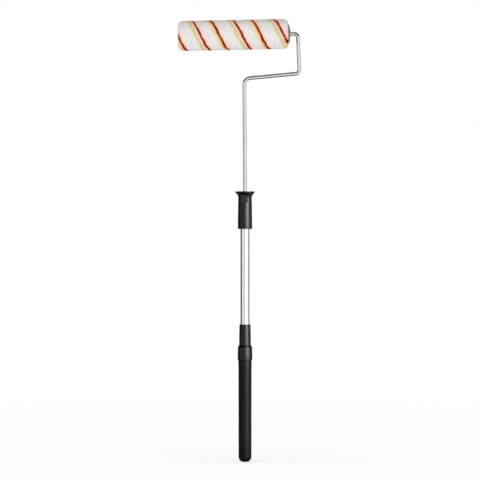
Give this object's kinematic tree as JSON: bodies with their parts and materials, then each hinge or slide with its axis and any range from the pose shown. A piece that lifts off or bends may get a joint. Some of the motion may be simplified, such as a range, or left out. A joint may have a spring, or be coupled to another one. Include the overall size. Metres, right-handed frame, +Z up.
{
  "type": "paint roller",
  "caption": "Paint roller: striped nap cover on a spinning wire cage, bent rod frame, and a telescoping twist-lock handle with a soft grip.",
  "frame": {"origin": "centre of the small flat on the butt of the handle, on the handle's axis", "axes": "+Z up the handle towards the roller, +X towards the rod frame's outer leg, +Y across the roller, away from the side shown in front"},
  "size_m": [0.2554, 0.0636, 0.9172],
  "materials": {
    "nap": "long woven pile, grey-white with peach, yellow and maroon spiral stripes",
    "core": "plain extruded polypropylene",
    "cage_steel": "zinc plated, dull",
    "rod_chrome": "bright plated wire",
    "tube_aluminium": "polished drawn tube",
    "nylon": "natural moulded nylon",
    "black_plastic": "satin moulded black",
    "grip": "soft-touch, slightly warm black",
    "cap_plastic": "fine spark-eroded grain, neutral black"
  },
  "bodies": {
    "handle": {"outer_tube": "tube_aluminium", "grip_sleeve": "grip", "grip_ring": "black_plastic", "end_cap": "cap_plastic", "lock_base": "nylon", "lock_collet": "nylon"},
    "lock_nut": {"lock_nut": "black_plastic"},
    "glide": {"glide_plug": "nylon"},
    "pole": {"inner_tube": "tube_aluminium", "shank_insert": "nylon", "front_collar": "black_plastic", "frame_rod": "rod_chrome", "axle_push_nut": "cage_steel", "axle_stop_ring": "cage_steel"},
    "cage": {"cage_cap_inner": "cage_steel", "cage_cap_outer": "cage_steel", "cage_wire_1": "cage_steel", "cage_wire_2": "cage_steel", "cage_wire_3": "cage_steel", "cage_wire_4": "cage_steel", "cage_wire_5": "cage_steel", "axle_bush_inner": "nylon", "axle_bush_outer": "nylon"},
    "cover": {"cover_core": "core", "nap_cover": "nap"}
  },
  "joints": [
    {"name": "pole_slide", "type": "slide", "parent": "handle", "child": "glide", "axis": [0, 0, 1], "range_m": [-0.12, 0]},
    {"name": "pole_turn", "type": "hinge", "parent": "glide", "child": "pole", "pos_m": [0, 0, 0.18], "axis": [0, 0, 1], "continuous": true},
    {"name": "lock_nut_turn", "type": "hinge", "parent": "handle", "child": "lock_nut", "pos_m": [0, 0, 0.23], "axis": [0, 0, 1], "range_deg": [0, 120]},
    {"name": "roller_spin", "type": "hinge", "parent": "pole", "child": "cage", "pos_m": [-0.0245, 0, 0.8833], "axis": [0.9998, 0, 0.0201], "continuous": true},
    {"name": "cover_slide", "type": "slide", "parent": "cage", "child": "cover", "axis": [-0.9998, 0, -0.0201], "range_m": [0, 0.25]}
  ]
}
